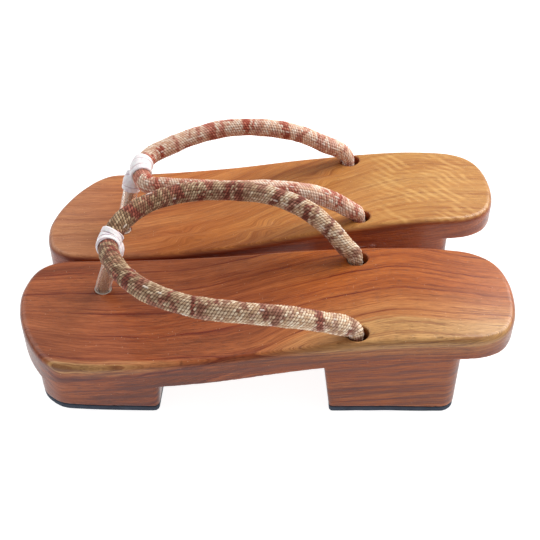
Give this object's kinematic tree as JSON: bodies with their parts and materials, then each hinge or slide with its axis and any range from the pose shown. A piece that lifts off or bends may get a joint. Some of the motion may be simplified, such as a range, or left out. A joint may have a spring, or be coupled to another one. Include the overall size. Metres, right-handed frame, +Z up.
{
  "type": "pair of wooden massage clogs",
  "caption": "Pair of wooden spa clogs with sloping decks on front and heel blocks, rubber pads, and woven straps held by a clear sleeve between the toes.",
  "frame": {"origin": "centre of the pair's bounding box, at the floor under the pads", "axes": "+X from toe to heel, +Y from the left slipper to the right one, +Z up"},
  "size_m": [0.253, 0.1729, 0.0787],
  "materials": {
    "left_wood": "glossy clear lacquer over reddish brown straight-grained hardwood with a paler sapwood edge",
    "right_wood": "glossy clear lacquer over lighter orange brown hardwood with rippled grain",
    "rubber": "matt dark blue-grey rubber sheet",
    "strap_cloth": "tight basket weave in cream cotton with irregular dark red blotches",
    "tape": "matt white to pale pink cloth tape wound in turns",
    "clear_sleeve": "clear soft plastic tube",
    "cord": "twisted off-white cotton cord"
  },
  "bodies": {
    "left_slipper": {"left_sole": "left_wood", "left_front_pad": "rubber", "left_heel_pad": "rubber", "left_strap": "strap_cloth", "left_strap_tape": "tape", "left_sleeve_tape": "tape", "left_toe_sleeve": "clear_sleeve", "left_toe_cord": "cord", "left_rear_cord_inner": "cord", "left_rear_cord_outer": "cord"},
    "right_slipper": {"right_sole": "right_wood", "right_front_pad": "rubber", "right_heel_pad": "rubber", "right_strap": "strap_cloth", "right_strap_tape": "tape", "right_sleeve_tape": "tape", "right_toe_sleeve": "clear_sleeve", "right_toe_cord": "cord", "right_rear_cord_inner": "cord", "right_rear_cord_outer": "cord"}
  },
  "joints": [
    {"name": "right_slipper_slide", "type": "slide", "parent": "left_slipper", "child": "right_slipper", "axis": [0, 1, 0], "range_m": [0, 0.12]}
  ]
}
